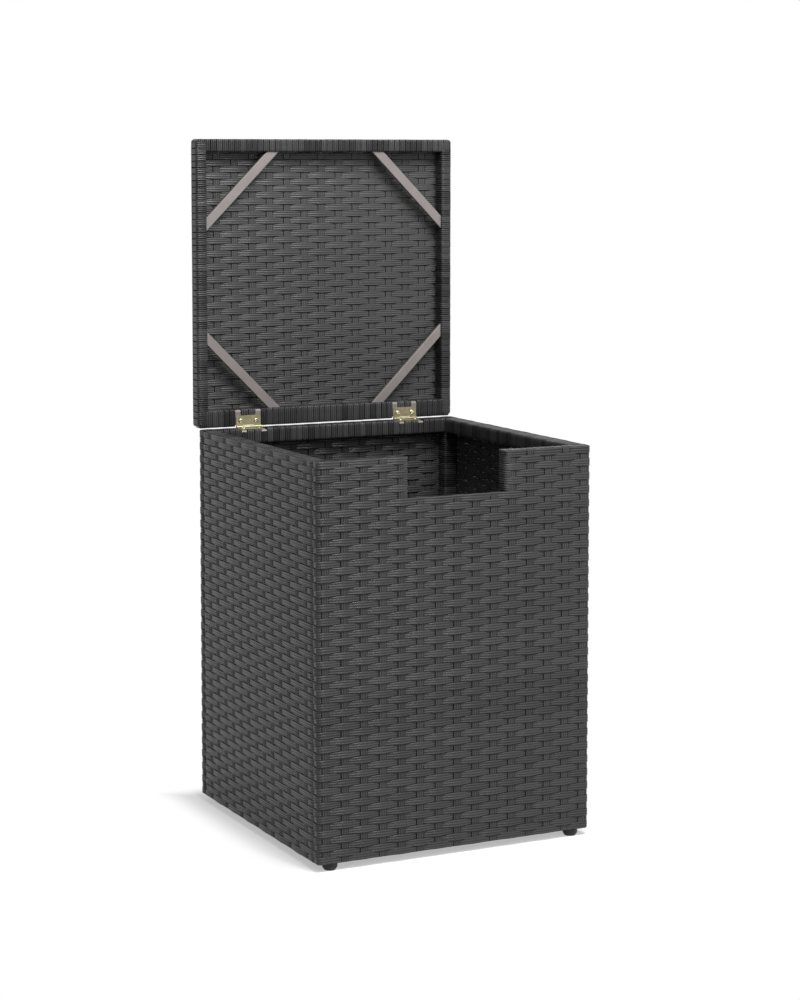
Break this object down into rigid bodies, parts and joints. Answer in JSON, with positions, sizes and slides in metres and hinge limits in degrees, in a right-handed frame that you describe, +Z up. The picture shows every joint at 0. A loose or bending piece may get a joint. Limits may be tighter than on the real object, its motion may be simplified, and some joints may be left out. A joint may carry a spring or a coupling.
{
  "type": "propane tank cover table",
  "caption": "Square woven side table that hides a gas tank: open bottom, hose notch in the front wall, woven lid hinged at the back and standing open.",
  "frame": {"origin": "on the floor, under the middle of the bounding box of the table with its lid open", "axes": "+X from left to right along the front wall, +Y from the notched front wall to the hinge side, +Z up"},
  "size_m": [0.4, 0.4226, 0.929],
  "materials": {
    "pe_resin": "satin flat strands with fine lengthwise grooves",
    "frame_steel": "satin warm grey powder coat",
    "hinge_steel": "thin yellow zinc plating",
    "foot_plastic": "moulded, satin"
  },
  "bodies": {
    "base": {"front_bottom_rail": "frame_steel", "front_left_foot": "foot_plastic", "front_left_post": "frame_steel", "front_left_post_winding": "pe_resin", "front_left_top_rail": "frame_steel", "front_right_foot": "foot_plastic", "front_right_post": "frame_steel", "front_right_post_winding": "pe_resin", "front_right_top_rail": "frame_steel", "front_rim_winding": "pe_resin", "front_woven_wall": "pe_resin", "left_bottom_rail": "frame_steel", "left_hinge_pin": "hinge_steel", "left_hinge_rim_leaf": "hinge_steel", "left_hinge_rim_screw_a": "hinge_steel", "left_hinge_rim_screw_b": "hinge_steel", "left_rim_winding": "pe_resin", "left_top_rail": "frame_steel", "left_woven_wall": "pe_resin", "notch_cross_rail": "frame_steel", "notch_left_upright": "frame_steel", "notch_right_upright": "frame_steel", "rear_bottom_rail": "frame_steel", "rear_left_foot": "foot_plastic", "rear_left_post": "frame_steel", "rear_left_post_winding": "pe_resin", "rear_right_foot": "foot_plastic", "rear_right_post": "frame_steel", "rear_right_post_winding": "pe_resin", "rear_rim_winding": "pe_resin", "rear_top_rail": "frame_steel", "rear_woven_wall": "pe_resin", "right_bottom_rail": "frame_steel", "right_hinge_pin": "hinge_steel", "right_hinge_rim_leaf": "hinge_steel", "right_hinge_rim_screw_a": "hinge_steel", "right_hinge_rim_screw_b": "hinge_steel", "right_rim_winding": "pe_resin", "right_top_rail": "frame_steel", "right_woven_wall": "pe_resin"},
    "lid": {"left_hinge_lid_leaf": "hinge_steel", "left_hinge_lid_screw_a": "hinge_steel", "left_hinge_lid_screw_b": "hinge_steel", "lid_brace_front_left": "frame_steel", "lid_brace_front_right": "frame_steel", "lid_brace_rear_left": "frame_steel", "lid_brace_rear_right": "frame_steel", "lid_front_tube": "frame_steel", "lid_front_winding": "pe_resin", "lid_hinge_tube": "frame_steel", "lid_hinge_winding": "pe_resin", "lid_left_tube": "frame_steel", "lid_left_winding": "pe_resin", "lid_right_tube": "frame_steel", "lid_right_winding": "pe_resin", "lid_woven_panel": "pe_resin", "right_hinge_lid_leaf": "hinge_steel", "right_hinge_lid_screw_a": "hinge_steel", "right_hinge_lid_screw_b": "hinge_steel"}
  },
  "joints": [
    {"name": "lid_hinge", "type": "hinge", "parent": "base", "child": "lid", "pos_m": [0, 0.18705, 0.5258], "axis": [1, 0, 0], "range_deg": [0, 90]}
  ]
}
